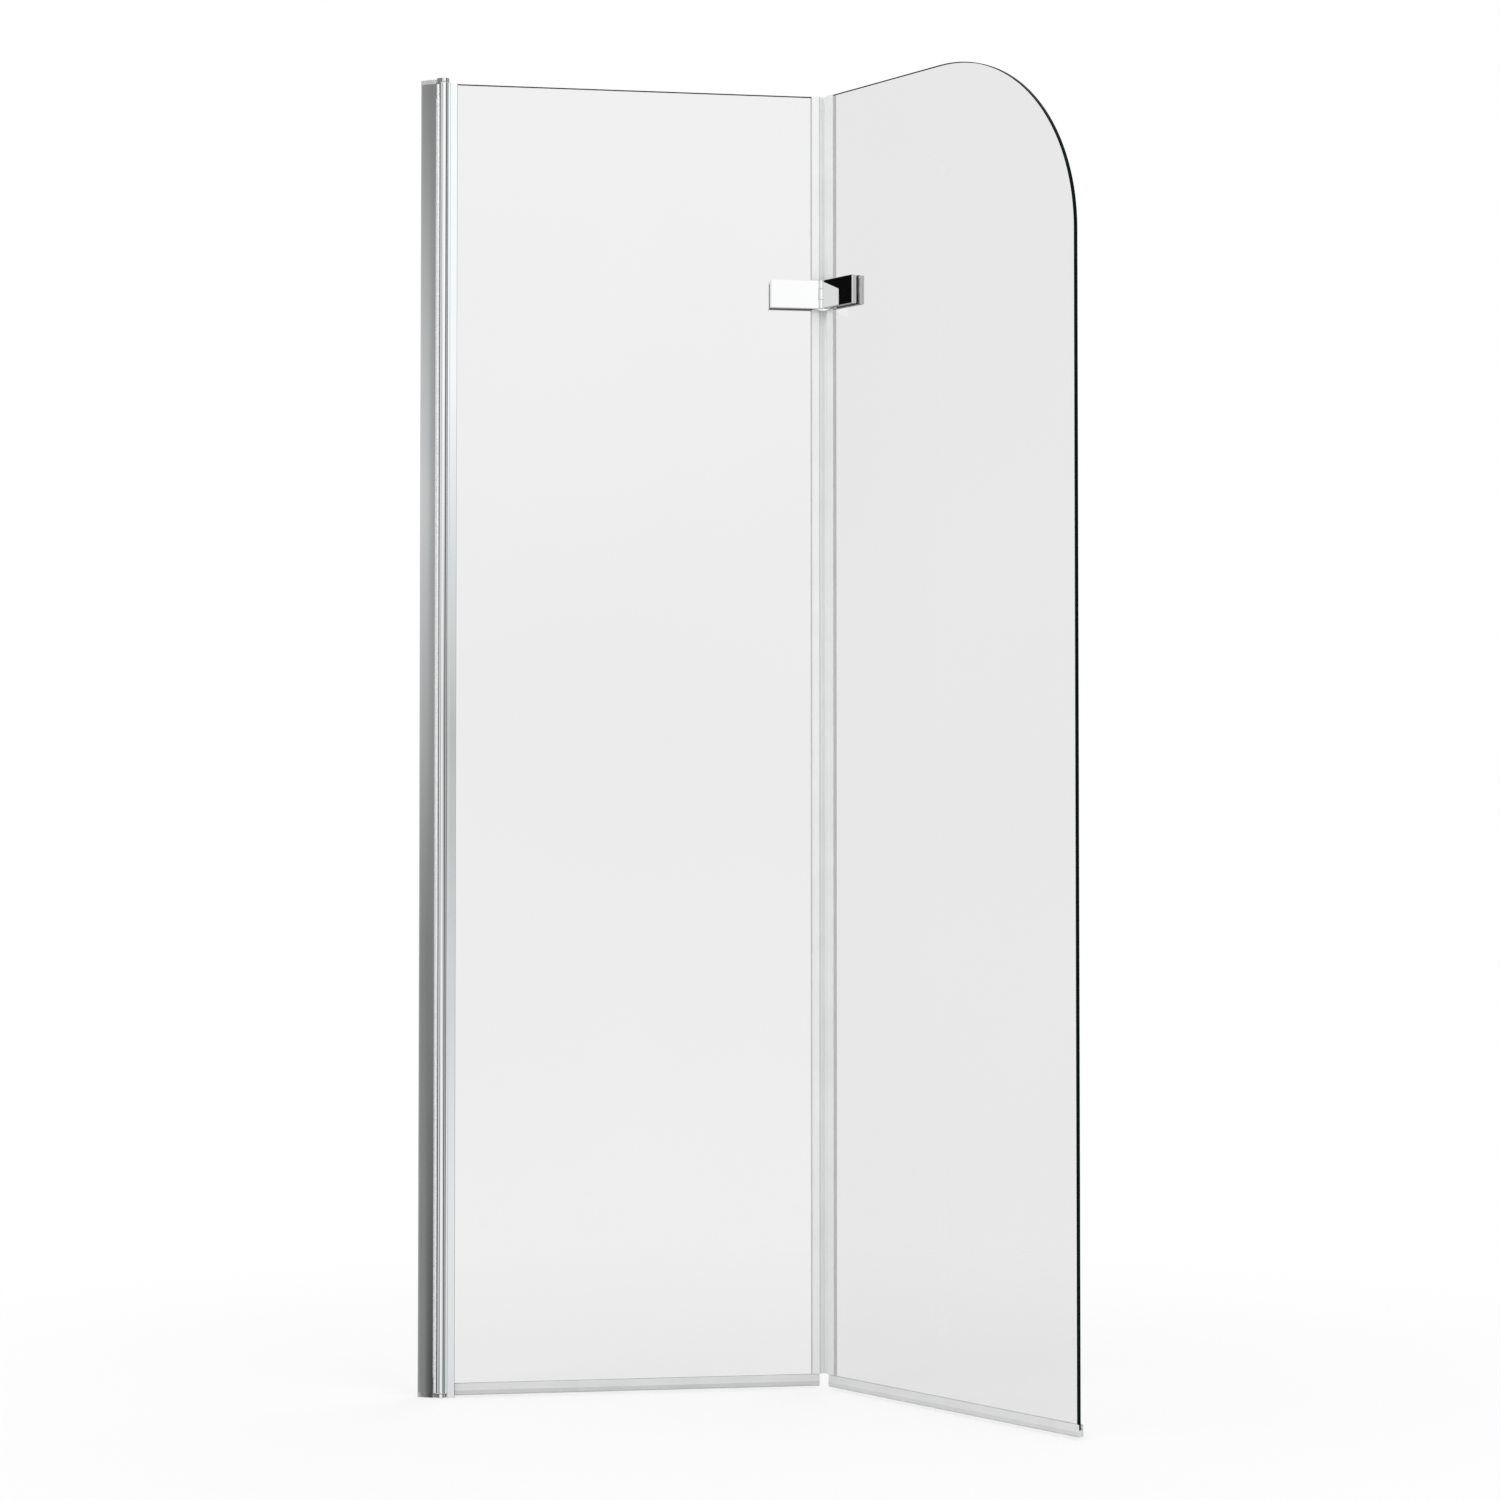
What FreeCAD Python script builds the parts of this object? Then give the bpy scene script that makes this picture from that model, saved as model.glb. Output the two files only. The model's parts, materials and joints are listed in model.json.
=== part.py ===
import FreeCAD, Part
import math
import os

# Folding bath screen in millimetres: a slim wall profile, an inner glass panel that swings on it,
# and an outer glass panel that folds on the inner one towards the bather's side, which is -Y.
# X is the wall's normal, Z is up, and the origin is the middle of the row of wall holes, at the wall.
# Every piece is drawn with both panels in line along X, then turned to its resting angle.

V = FreeCAD.Vector

# Whole screen
screen_height = 1400.0
rest_swing = 30.0
rest_fold = 60.5

# Glass panes
glass_thickness = 5.0
glass_arris = 0.5
inner_glass_width = 397.0
outer_glass_width = 380.0
glass_foot_rise = 8.5
glass_top_drop = 6.0
corner_radius = 200.0

# Wall channel, an open U that is screwed to the wall through its web
channel_width = 16.0
channel_depth = 18.0
channel_wall = 1.5
channel_corner_radius = 1.2
channel_crown = 0.45
wall_hole_radius = 2.5
wall_hole_spacing = 400.0
wall_hole_count = 4

# Pivot post, which slides in the channel and cradles the turning barrel
post_slide_gap = 0.3
post_wall = 1.5
post_front_wall = 3.2
post_head_width = 11.2
wall_screw_head_room = 5.0
post_lip_radius = 1.0
screw_port_radius = 2.9

# Side screws that hold the post in the channel, with snap covers
side_screw_count = 3
side_screw_spacing = 450.0
side_screw_radius = 1.6
side_screw_head_radius = 3.0
side_screw_head_height = 1.8
side_screw_length = 4.6
cover_wall = 0.9
cover_edge_radius = 0.8

# Turning barrel and the glass clamp that grows out of it
pivot_reach = 24.0
barrel_radius = 5.2
barrel_gap = 0.3
barrel_bore_radius = 3.4
neck_width = 6.0
swing_gap = 0.5
clamp_reach = 14.0
clamp_wall = 2.0
clamp_floor = 1.8
clamp_edge_radius = 0.6
glazing_gasket_wall = 0.5

# Soft strip in the cradle that keeps water out of the pivot
pivot_seal_width = 3.0
pivot_seal_depth = 1.6

# Pivot caps with their pins, bushes and screws; the top one has a shoulder over the channel
cap_thickness = 5.0
cap_shoulder = 2.0
cap_nose_thickness = 4.0
cap_edge_radius = 0.8
pivot_pin_radius = 2.5
pivot_pin_seat = 3.0
pivot_pin_length = 21.0
bush_length = 16.0
bush_flange_thickness = 0.8
bush_flange_radius = 4.8
thrust_gap = 0.3
cap_screw_radius = 1.5
cap_screw_head_radius = 3.0
cap_screw_head_height = 1.5
cap_screw_length = 16.0

# Fold hinge: its pin stands in front of the glass, level with the front plates
fold_axis_lead = 7.0
inner_edge_to_axis = 0.9
outer_edge_to_axis = 4.2
hinge_drop = 222.5
hinge_height = 31.0
inner_plate_length = 52.0
outer_plate_length = 49.0
plate_setback = 3.0
plate_face_gap = 0.3
plate_edge_radius = 0.8
back_plate_thickness = 7.0
hinge_gasket_thickness = 1.0
hinge_gasket_inset = 2.0
knuckle_radius = 2.6
middle_knuckle = 11.0
knuckle_gap = 0.6
washer_thickness = 0.4
washer_inset = 0.3
hinge_pin_radius = 1.5

# Hinge screws, driven from the back through sleeved holes in the glass
hinge_screw_count = 2
hinge_screw_offset = 14.0
hinge_screw_spacing = 24.0
hinge_screw_radius = 2.5
hinge_screw_head_radius = 4.5
hinge_screw_head_height = 2.0
hinge_screw_bite = 3.7
socket_flats = 3.0
socket_depth = 1.6
glass_hole_radius = 5.0
sleeve_gap = 0.2

# Clear edge clips on the panes and the soft gusset between them
clip_wall = 1.0
clip_web = 1.2
clip_flange = 8.3
gusset_wall = 0.8
gusset_sag = 2.8
gusset_gap = 0.3
strip_end_gap = 0.5

# Clear drip seals under the panes
drip_flange = 6.0
drip_base = 1.2
drip_drop = 6.5
bulb_wall = 1.0
bulb_radius = 1.6
drip_side_gap = 0.3
drip_overhang = 2.0

# Fits
same_place = 1e-6
pressed_gap = 0.01
running_gap = 0.05
screw_gap = 0.1

# Heights measured from the origin
foot = -screen_height / 2
top = screen_height / 2
glass_foot = foot + glass_foot_rise
glass_top = top - glass_top_drop
channel_foot = foot + cap_thickness
channel_top = top - cap_shoulder - cap_thickness
nose_foot = foot + cap_nose_thickness
nose_top = top - cap_nose_thickness
barrel_foot = nose_foot + bush_flange_thickness + thrust_gap
barrel_top = nose_top - bush_flange_thickness - thrust_gap
hinge_middle = top - hinge_drop
hinge_foot = hinge_middle - hinge_height / 2
hinge_top = hinge_middle + hinge_height / 2
drip_top = glass_foot + drip_flange

# Places along X and Y with the panels in line
half_glass = glass_thickness / 2
slot_half = half_glass + glazing_gasket_wall
clamp_half = slot_half + clamp_wall
clamp_start = pivot_reach + post_head_width / 2 + swing_gap
clamp_end = pivot_reach + clamp_reach
slot_start = clamp_start + clamp_floor
inner_glass_start = slot_start + glazing_gasket_wall
inner_glass_end = inner_glass_start + inner_glass_width
fold_x = inner_glass_end + inner_edge_to_axis
fold_y = -half_glass - fold_axis_lead
outer_glass_start = fold_x + outer_edge_to_axis
outer_glass_end = outer_glass_start + outer_glass_width
post_half = channel_width / 2 - channel_wall - post_slide_gap
post_start = channel_wall + wall_screw_head_room
cradle_radius = barrel_radius + barrel_gap
cradle_floor = pivot_reach - cradle_radius
lip_end = pivot_reach - neck_width / 2 - swing_gap
port_x = (post_start + post_wall + cradle_floor - post_front_wall) / 2
first_hinge_screw = plate_setback + hinge_screw_offset
hinge_screw_reaches = [first_hinge_screw + i * hinge_screw_spacing for i in range(hinge_screw_count)]
edge_to_axis = {-1: inner_edge_to_axis, 1: outer_edge_to_axis}
plate_end = {-1: plate_setback + inner_plate_length, 1: plate_setback + outer_plate_length}


def box(x0, x1, y0, y1, z0, z1):
    return Part.makeBox(x1 - x0, y1 - y0, z1 - z0, V(x0, y0, z0))


def span(a, b):
    return min(a, b), max(a, b)


def upright(x, y, radius, z0, z1):
    return Part.makeCylinder(radius, z1 - z0, V(x, y, z0))


def crossbar(x, z, radius, y0, y1):
    return Part.makeCylinder(radius, y1 - y0, V(x, y0, z), V(0, 1, 0))


def prism(corners, z0, z1):
    points = [V(x, y, z0) for x, y in corners]
    wire = Part.makePolygon(points + points[:1])
    return Part.Face(wire).extrude(V(0, 0, z1 - z0))


def joined(first, *others):
    return first.fuse(list(others)).removeSplitter()


def edges_at(shape, test):
    return [edge for edge in shape.Edges if test(edge.CenterOfMass)]


def near(a, b):
    return abs(a - b) < same_place


def group(shapes):
    return Part.makeCompound(shapes)


def swung(shape):
    turned = shape.copy()
    turned.rotate(V(pivot_reach, 0, 0), V(0, 0, 1), rest_swing)
    return turned


def folded(shape):
    turned = shape.copy()
    turned.rotate(V(fold_x, fold_y, 0), V(0, 0, 1), -rest_fold)
    return swung(turned)


# Wall profile


def channel_outline(z0, z1):
    half = channel_width / 2
    end = half - channel_crown
    viewer_side = Part.Arc(V(0, -end, z0), V(channel_depth / 2, -half, z0), V(channel_depth, -end, z0))
    far_side = Part.Arc(V(channel_depth, end, z0), V(channel_depth / 2, half, z0), V(0, end, z0))
    front = Part.makeLine(V(channel_depth, -end, z0), V(channel_depth, end, z0))
    wall_side = Part.makeLine(V(0, end, z0), V(0, -end, z0))
    outline = Part.Wire([viewer_side.toShape(), front, far_side.toShape(), wall_side])
    block = Part.Face(outline).extrude(V(0, 0, z1 - z0))
    corners = edges_at(block, lambda p: near(p.x, 0) and near(p.z, (z0 + z1) / 2) and not near(p.y, 0))
    return block.makeFillet(channel_corner_radius, corners)


def row_heights(count, spacing):
    return [(i - (count - 1) / 2) * spacing for i in range(count)]


def wall_channel():
    z0, z1 = channel_foot, channel_top
    half_bay = channel_width / 2 - channel_wall
    shape = channel_outline(z0, z1)
    shape = shape.cut(box(channel_wall, channel_depth, -half_bay, half_bay, z0, z1))
    for z in row_heights(wall_hole_count, wall_hole_spacing):
        shape = shape.cut(Part.makeCylinder(wall_hole_radius, channel_wall, V(0, 0, z), V(1, 0, 0)))
    for z in row_heights(side_screw_count, side_screw_spacing):
        hole = crossbar(port_x, z, side_screw_radius + screw_gap, half_bay, channel_width / 2)
        shape = shape.cut(hole)
    return shape


def pivot_post():
    z0, z1 = channel_foot, channel_top
    head_half = post_head_width / 2
    shape = box(post_start, channel_depth, -post_half, post_half, z0, z1)
    head = box(channel_depth, lip_end, -head_half, head_half, z0, z1)
    lips = edges_at(head, lambda p: near(p.x, lip_end) and near(abs(p.y), head_half))
    head = head.makeFillet(min(post_lip_radius, (lip_end - channel_depth) / 2), lips)
    shape = joined(shape, head)
    shape = shape.cut(upright(pivot_reach, 0, cradle_radius, z0, z1))
    hollow_half = post_half - post_wall
    hollow_end = cradle_floor - post_front_wall
    hollow = box(post_start + post_wall, hollow_end, -hollow_half, hollow_half, z0, z1)
    port = upright(port_x, 0, screw_port_radius, z0, z1)
    web = box(port_x, hollow_end, -post_wall / 2, post_wall / 2, z0, z1)
    shape = shape.cut(hollow.cut(port.fuse(web)))
    shape = shape.cut(upright(port_x, 0, cap_screw_radius + pressed_gap, z0, z1))
    shape = shape.cut(pivot_seal_bay(z0, z1))
    for z in row_heights(side_screw_count, side_screw_spacing):
        hole = crossbar(port_x, z, side_screw_radius + pressed_gap, hollow_half, post_half)
        shape = shape.cut(hole)
    return shape.removeSplitter()


def pivot_seal_bay(z0, z1):
    half = pivot_seal_width / 2
    return box(cradle_floor - pivot_seal_depth, pivot_reach, -half, half, z0, z1)


def pivot_seal():
    z0, z1 = channel_foot, channel_top
    return pivot_seal_bay(z0, z1).cut(upright(pivot_reach, 0, cradle_radius, z0, z1))


def countersunk(x, y, z, way, radius, head_radius, head_height, length):
    cone = Part.makeCone(head_radius, radius, head_height, V(x, y, z), way)
    seat = V(x, y, z) + way * head_height
    shank = Part.makeCylinder(radius, length - head_height, seat, way)
    return joined(cone, shank)


def cap_screw(z, way, gap=0.0):
    radius = cap_screw_radius + gap
    head = cap_screw_head_radius + gap
    return countersunk(port_x, 0, z, way, radius, head, cap_screw_head_height, cap_screw_length)


def pivot_cap(outer_z, shoulder_z, channel_z, nose_z):
    head_half = post_head_width / 2
    base = channel_outline(*span(shoulder_z, channel_z))
    head = box(channel_depth, lip_end, -head_half, head_half, *span(outer_z, channel_z))
    bridge = box(channel_depth, pivot_reach, -head_half, head_half, *span(outer_z, nose_z))
    nose = upright(pivot_reach, 0, head_half, *span(outer_z, nose_z))
    shape = joined(base, head, bridge, nose)
    shape = shape.cut(upright(pivot_reach, 0, cradle_radius, *span(nose_z, channel_z)))

    def on_rim(p):
        on_base = near(p.z, shoulder_z) and abs(p.y) > head_half
        return (near(p.z, outer_z) or on_base) and not near(p.x, 0)

    shape = shape.makeFillet(cap_edge_radius, edges_at(shape, on_rim))
    inward = V(0, 0, 1 if nose_z > outer_z else -1)
    seat_start = V(pivot_reach, 0, nose_z) - inward * pivot_pin_seat
    shape = shape.cut(Part.makeCylinder(pivot_pin_radius + pressed_gap, pivot_pin_seat, seat_start, inward))
    return shape.cut(cap_screw(shoulder_z, inward, screw_gap))


def pivot_pin(nose_z, inward):
    seat_start = V(pivot_reach, 0, nose_z) - inward * pivot_pin_seat
    return Part.makeCylinder(pivot_pin_radius, pivot_pin_length, seat_start, inward)


def side_screws():
    shapes = []
    outside = channel_width / 2
    for z in row_heights(side_screw_count, side_screw_spacing):
        shank = crossbar(port_x, z, side_screw_radius, outside - side_screw_length, outside)
        head = crossbar(port_x, z, side_screw_head_radius, outside, outside + side_screw_head_height)
        shapes.append(joined(shank, head))
    return group(shapes)


def side_screw_covers():
    shapes = []
    outside = channel_width / 2
    bay_radius = side_screw_head_radius + screw_gap
    bay_end = outside + side_screw_head_height + screw_gap
    for z in row_heights(side_screw_count, side_screw_spacing):
        dome = crossbar(port_x, z, bay_radius + cover_wall, outside, bay_end + cover_wall)
        rim = edges_at(dome, lambda p: near(p.y, bay_end + cover_wall))
        dome = dome.makeFillet(cover_edge_radius, rim)
        shapes.append(dome.cut(crossbar(port_x, z, bay_radius, outside, bay_end)))
    return group(shapes)


# Swinging profile and what holds the inner pane in it


def swing_profile():
    barrel = upright(pivot_reach, 0, barrel_radius, barrel_foot, barrel_top)
    neck = box(pivot_reach, clamp_start, -neck_width / 2, neck_width / 2, barrel_foot, glass_top)
    clamp = box(clamp_start, clamp_end, -clamp_half, clamp_half, foot, glass_top)
    long_edges = edges_at(clamp, lambda p: near(abs(p.y), clamp_half) and near(p.z, (foot + glass_top) / 2))
    clamp = clamp.makeFillet(clamp_edge_radius, long_edges)
    shape = joined(barrel, neck, clamp)
    shape = shape.cut(box(slot_start, clamp_end, -slot_half, slot_half, foot, glass_top))
    return shape.cut(upright(pivot_reach, 0, barrel_bore_radius, barrel_foot, barrel_top))


def pivot_bush(barrel_end, inward):
    flange_start = V(pivot_reach, 0, barrel_end) - inward * bush_flange_thickness
    flange = Part.makeCylinder(bush_flange_radius, bush_flange_thickness, flange_start, inward)
    tube_start = V(pivot_reach, 0, barrel_end)
    tube = Part.makeCylinder(barrel_bore_radius - pressed_gap, bush_length, tube_start, inward)
    bore_length = bush_flange_thickness + bush_length
    bore = Part.makeCylinder(pivot_pin_radius + running_gap, bore_length, flange_start, inward)
    return joined(flange, tube).cut(bore)


def glazing_gasket():
    sleeve = box(slot_start, clamp_end, -slot_half, slot_half, glass_foot, glass_top)
    return sleeve.cut(box(inner_glass_start, clamp_end, -half_glass, half_glass, glass_foot, glass_top))


def setting_block():
    half = slot_half - screw_gap
    return box(slot_start + screw_gap, clamp_end - screw_gap, -half, half, foot, glass_foot)


# Glass panes


def pane(outline):
    sheet = Part.Face(Part.Wire(outline)).extrude(V(0, glass_thickness, 0))
    rim = edges_at(sheet, lambda p: near(abs(p.y), half_glass))
    return sheet.makeChamfer(glass_arris, rim)


def line(a, b):
    return Part.LineSegment(a, b).toShape()


def hinge_holes(side, radius, y0, y1):
    return [crossbar(fold_x + side * reach, hinge_middle, radius, y0, y1) for reach in hinge_screw_reaches]


def inner_glass():
    corners = [
        V(inner_glass_start, -half_glass, glass_foot),
        V(inner_glass_end, -half_glass, glass_foot),
        V(inner_glass_end, -half_glass, glass_top),
        V(inner_glass_start, -half_glass, glass_top),
    ]
    outline = [line(a, b) for a, b in zip(corners, corners[1:] + corners[:1])]
    return pane(outline).cut(hinge_holes(-1, glass_hole_radius, -half_glass, half_glass))


def outer_glass():
    centre = V(outer_glass_end - corner_radius, -half_glass, glass_top - corner_radius)
    diagonal = corner_radius * math.sqrt(0.5)
    arc_start = V(outer_glass_end, -half_glass, centre.z)
    arc_middle = V(centre.x + diagonal, -half_glass, centre.z + diagonal)
    arc_end = V(centre.x, -half_glass, glass_top)
    low_near = V(outer_glass_start, -half_glass, glass_foot)
    low_far = V(outer_glass_end, -half_glass, glass_foot)
    high_near = V(outer_glass_start, -half_glass, glass_top)
    outline = [
        line(low_near, low_far),
        line(low_far, arc_start),
        Part.Arc(arc_start, arc_middle, arc_end).toShape(),
        line(arc_end, high_near),
        line(high_near, low_near),
    ]
    return pane(outline).cut(hinge_holes(1, glass_hole_radius, -half_glass, half_glass))


# Fold hinge, where side is -1 on the inner pane and 1 on the outer pane


def plate(side, y0, y1, face_y, edge_radius):
    far_x = fold_x + side * plate_end[side]
    x0, x1 = span(fold_x + side * plate_setback, far_x)
    blank = box(x0, x1, y0, y1, hinge_foot, hinge_top)

    def rounded(p):
        on_face = near(p.y, face_y) and not near(p.x, fold_x + side * plate_setback)
        on_end = near(p.x, far_x) and not near(p.z, hinge_middle)
        return on_face or on_end

    return blank.makeFillet(edge_radius, edges_at(blank, rounded))


def knuckle_spans(side):
    low = hinge_middle - middle_knuckle / 2
    high = hinge_middle + middle_knuckle / 2
    if side > 0:
        return [(low, high)]
    return [(hinge_foot, low - knuckle_gap), (high + knuckle_gap, hinge_top)]


def hinge_front(side):
    face_y = fold_y + plate_face_gap
    back_y = -half_glass - hinge_gasket_thickness
    shape = plate(side, face_y, back_y, face_y, plate_edge_radius)
    pin_hole = hinge_pin_radius + (running_gap if side > 0 else pressed_gap)
    for z0, z1 in knuckle_spans(side):
        x0, x1 = span(fold_x, fold_x + side * plate_setback)
        web = box(x0, x1, face_y, fold_y + knuckle_radius, z0, z1)
        barrel = upright(fold_x, fold_y, knuckle_radius, z0, z1)
        shape = joined(shape, web, barrel)
        shape = shape.cut(upright(fold_x, fold_y, pin_hole, z0, z1))
    bite = hinge_holes(side, hinge_screw_radius + pressed_gap, back_y - hinge_screw_bite - screw_gap, back_y)
    return shape.cut(bite)


def back_plate_span():
    y0 = half_glass + hinge_gasket_thickness
    return y0, y0 + back_plate_thickness


def hinge_screw_shapes(side, gap=0.0):
    back_y = back_plate_span()[1]
    length = back_y + half_glass + hinge_gasket_thickness + hinge_screw_bite
    shapes = []
    for reach in hinge_screw_reaches:
        shapes.append(
            countersunk(
                fold_x + side * reach,
                back_y,
                hinge_middle,
                V(0, -1, 0),
                hinge_screw_radius + gap,
                hinge_screw_head_radius + gap,
                hinge_screw_head_height,
                length,
            )
        )
    return shapes


def hinge_back(side):
    y0, y1 = back_plate_span()
    shape = plate(side, y0, y1, y1, plate_edge_radius)
    return shape.cut(hinge_screw_shapes(side, screw_gap))


def hinge_screws(side):
    back_y = back_plate_span()[1]
    hexagon = socket_flats / math.sqrt(3)
    shapes = []
    for reach, screw in zip(hinge_screw_reaches, hinge_screw_shapes(side)):
        x = fold_x + side * reach
        turns = [math.radians(60 * i) for i in range(6)]
        ring = [V(x + hexagon * math.cos(a), back_y, hinge_middle + hexagon * math.sin(a)) for a in turns]
        socket = Part.Face(Part.makePolygon(ring + ring[:1])).extrude(V(0, -socket_depth, 0))
        shapes.append(screw.cut(socket))
    return group(shapes)


def hinge_gasket(side, y0):
    near_reach = max(plate_setback, edge_to_axis[side]) + hinge_gasket_inset
    far_reach = plate_end[side] - hinge_gasket_inset
    x0, x1 = span(fold_x + side * near_reach, fold_x + side * far_reach)
    y1 = y0 + hinge_gasket_thickness
    sheet = box(x0, x1, y0, y1, hinge_foot + hinge_gasket_inset, hinge_top - hinge_gasket_inset)
    return sheet.cut(hinge_holes(side, hinge_screw_radius + screw_gap, y0, y1))


def hinge_sleeves(side):
    rings = hinge_holes(side, glass_hole_radius - sleeve_gap, -half_glass, half_glass)
    bores = hinge_holes(side, hinge_screw_radius + screw_gap, -half_glass, half_glass)
    return group([ring.cut(bore) for ring, bore in zip(rings, bores)])


def hinge_pin():
    return upright(fold_x, fold_y, hinge_pin_radius, hinge_foot, hinge_top)


def hinge_washers():
    shapes = []
    slack = (knuckle_gap - washer_thickness) / 2
    half = middle_knuckle / 2
    for z0 in (hinge_middle - half - knuckle_gap + slack, hinge_middle + half + slack):
        ring = upright(fold_x, fold_y, knuckle_radius - washer_inset, z0, z0 + washer_thickness)
        bore = upright(fold_x, fold_y, hinge_pin_radius + running_gap, z0, z0 + washer_thickness)
        shapes.append(ring.cut(bore))
    return group(shapes)


# Clear strips on the facing edges of the panes, above and below the hinge

strip_spans = {
    "lower": (drip_top + strip_end_gap, hinge_foot - strip_end_gap),
    "upper": (hinge_top + strip_end_gap, glass_top),
}


def edge_clip(side, level):
    z0, z1 = strip_spans[level]
    edge_x = fold_x + side * edge_to_axis[side]
    outside = half_glass + clip_wall
    x0, x1 = span(edge_x - side * clip_web, edge_x + side * clip_flange)
    g0, g1 = span(edge_x, edge_x + side * clip_flange)
    clip = box(x0, x1, -outside, outside, z0, z1)
    return clip.cut(box(g0, g1, -half_glass, half_glass, z0, z1))


def fold_gusset(level):
    z0, z1 = strip_spans[level]
    half_turn = math.radians(rest_fold / 2)
    turn = math.radians(rest_fold)
    start = clip_web - inner_edge_to_axis
    front_fold = fold_axis_lead * math.tan(half_turn)
    middle = (math.sin(half_turn), math.cos(half_turn))
    valley = (front_fold + gusset_sag * middle[0], fold_axis_lead + gusset_sag * middle[1])
    slope = math.atan2(valley[1] - fold_axis_lead, valley[0] - start)
    valley_wall = gusset_wall / math.cos(slope + half_turn)
    reach = front_fold + outer_edge_to_axis - clip_web - gusset_gap
    end = (front_fold + reach * math.cos(turn), fold_axis_lead - reach * math.sin(turn))
    corners = [
        (start, fold_axis_lead),
        valley,
        end,
        (end[0] + gusset_wall * math.sin(turn), end[1] + gusset_wall * math.cos(turn)),
        (valley[0] + valley_wall * middle[0], valley[1] + valley_wall * middle[1]),
        (start, fold_axis_lead + gusset_wall / math.cos(slope)),
    ]
    return prism([(fold_x + x, fold_y + y) for x, y in corners], z0, z1)


# Clear drip seals: a clip on the pane's lower edge over a hollow bulb


def drip_seal(x0, x1):
    outside = half_glass + clip_wall
    base = glass_foot - drip_base
    low = glass_foot - drip_drop
    clip = box(x0, x1, -outside, outside, base, drip_top)
    clip = clip.cut(box(x0, x1, -half_glass, half_glass, glass_foot, drip_top))
    bulb = box(x0, x1, -outside, outside, low, base)
    round_edges = edges_at(bulb, lambda p: near(p.z, low) and near(abs(p.y), outside))
    bulb = bulb.makeFillet(bulb_radius, round_edges)
    hollow = box(x0, x1, -outside + bulb_wall, outside - bulb_wall, low + bulb_wall, base)
    return joined(clip, bulb.cut(hollow))


def inner_drip_seal():
    return drip_seal(clamp_end + drip_side_gap, inner_glass_end)


def outer_drip_seal():
    return drip_seal(outer_glass_start, outer_glass_end + drip_overhang)


up = V(0, 0, 1)
down = V(0, 0, -1)
front_gasket_y = -half_glass - hinge_gasket_thickness

fixed_pieces = {
    "wall_channel": wall_channel(),
    "pivot_post": pivot_post(),
    "pivot_seal": pivot_seal(),
    "top_pivot_cap": pivot_cap(top, top - cap_shoulder, channel_top, nose_top),
    "bottom_pivot_cap": pivot_cap(foot, foot, channel_foot, nose_foot),
    "top_pivot_pin": pivot_pin(nose_top, down),
    "bottom_pivot_pin": pivot_pin(nose_foot, up),
    "cap_screws": group([cap_screw(top - cap_shoulder, down), cap_screw(foot, up)]),
    "side_screws": side_screws(),
    "side_screw_covers": side_screw_covers(),
}

inner_pieces = {
    "swing_profile": swing_profile(),
    "top_pivot_bush": pivot_bush(barrel_top, down),
    "bottom_pivot_bush": pivot_bush(barrel_foot, up),
    "glazing_gasket": glazing_gasket(),
    "setting_block": setting_block(),
    "inner_glass": inner_glass(),
    "inner_clip_lower": edge_clip(-1, "lower"),
    "inner_clip_upper": edge_clip(-1, "upper"),
    "fold_gusset_lower": fold_gusset("lower"),
    "fold_gusset_upper": fold_gusset("upper"),
    "inner_drip_seal": inner_drip_seal(),
    "inner_hinge_front": hinge_front(-1),
    "inner_hinge_back": hinge_back(-1),
    "inner_hinge_front_gasket": hinge_gasket(-1, front_gasket_y),
    "inner_hinge_back_gasket": hinge_gasket(-1, half_glass),
    "inner_hinge_screws": hinge_screws(-1),
    "inner_hinge_sleeves": hinge_sleeves(-1),
    "hinge_pin": hinge_pin(),
}

outer_pieces = {
    "outer_glass": outer_glass(),
    "outer_clip_lower": edge_clip(1, "lower"),
    "outer_clip_upper": edge_clip(1, "upper"),
    "outer_drip_seal": outer_drip_seal(),
    "outer_hinge_front": hinge_front(1),
    "outer_hinge_back": hinge_back(1),
    "outer_hinge_front_gasket": hinge_gasket(1, front_gasket_y),
    "outer_hinge_back_gasket": hinge_gasket(1, half_glass),
    "outer_hinge_screws": hinge_screws(1),
    "outer_hinge_sleeves": hinge_sleeves(1),
    "hinge_washers": hinge_washers(),
}

os.makedirs("parts", exist_ok=True)
pieces = dict(fixed_pieces)
pieces.update({name: swung(shape) for name, shape in inner_pieces.items()})
pieces.update({name: folded(shape) for name, shape in outer_pieces.items()})
for name, shape in pieces.items():
    shape.exportStep("parts/" + name + ".step")
    print(name, len(shape.Solids), round(shape.Volume, 1), shape.isValid())
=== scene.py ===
import json
import math
import bmesh
import bpy
from mathutils import Matrix, Vector


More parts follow.
